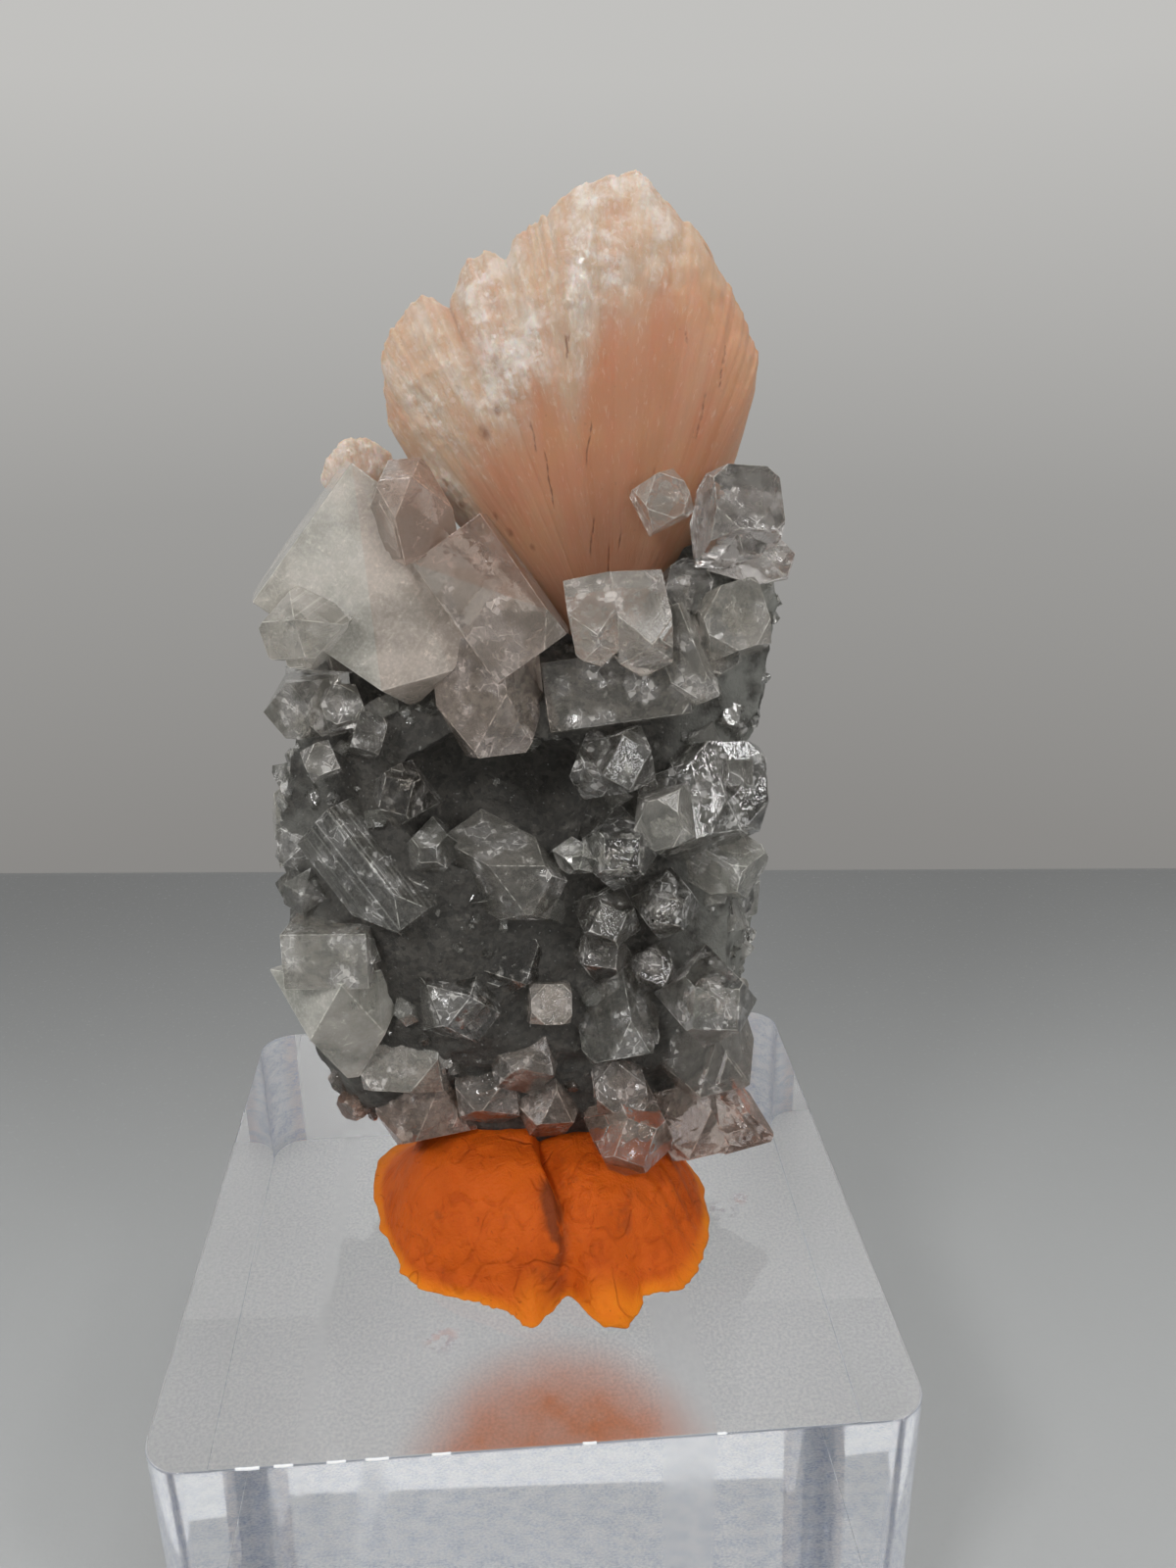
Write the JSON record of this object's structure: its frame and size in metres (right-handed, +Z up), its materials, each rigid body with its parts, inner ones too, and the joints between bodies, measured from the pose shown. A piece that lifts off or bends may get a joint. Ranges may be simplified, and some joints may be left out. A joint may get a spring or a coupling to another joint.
{
  "type": "apophyllite and stilbite crystal cluster on a clear block",
  "caption": "Natural cluster of clear blocky apophyllite crystals with a peach stilbite sheaf on dark basalt, stuck upright with orange putty on a square block of clear acrylic.",
  "frame": {"origin": "middle of the underside of the acrylic block", "axes": "+Z up along the height, +X to the right seen from the front, the side with the large crystals and the pressed putty faces -Y"},
  "size_m": [0.075, 0.075, 0.1506],
  "materials": {
    "acrylic": "polished clear acrylic",
    "putty": "pressed with thumbs, fingerprinted",
    "basalt": "broken, grainy",
    "stilbite": "finely ridged, pearly and translucent",
    "apophyllite": "clear to milky crystal faces"
  },
  "bodies": {
    "root": {"acrylic_block": "acrylic", "apophyllite_01": "apophyllite", "apophyllite_02": "apophyllite", "apophyllite_03": "apophyllite", "apophyllite_04": "apophyllite", "apophyllite_05": "apophyllite", "apophyllite_06": "apophyllite", "apophyllite_07": "apophyllite", "apophyllite_08": "apophyllite", "apophyllite_09": "apophyllite", "apophyllite_10": "apophyllite", "apophyllite_11": "apophyllite", "apophyllite_12": "apophyllite", "apophyllite_13": "apophyllite", "apophyllite_14": "apophyllite", "apophyllite_15": "apophyllite", "apophyllite_16": "apophyllite", "apophyllite_17": "apophyllite", "apophyllite_18": "apophyllite", "apophyllite_19": "apophyllite", "apophyllite_20": "apophyllite", "apophyllite_21": "apophyllite", "apophyllite_22": "apophyllite", "apophyllite_23": "apophyllite", "apophyllite_24": "apophyllite", "apophyllite_25": "apophyllite", "basalt_matrix": "basalt", "putty": "putty", "stilbite_bud": "stilbite", "stilbite_sheaf": "stilbite"}
  },
  "joints": []
}
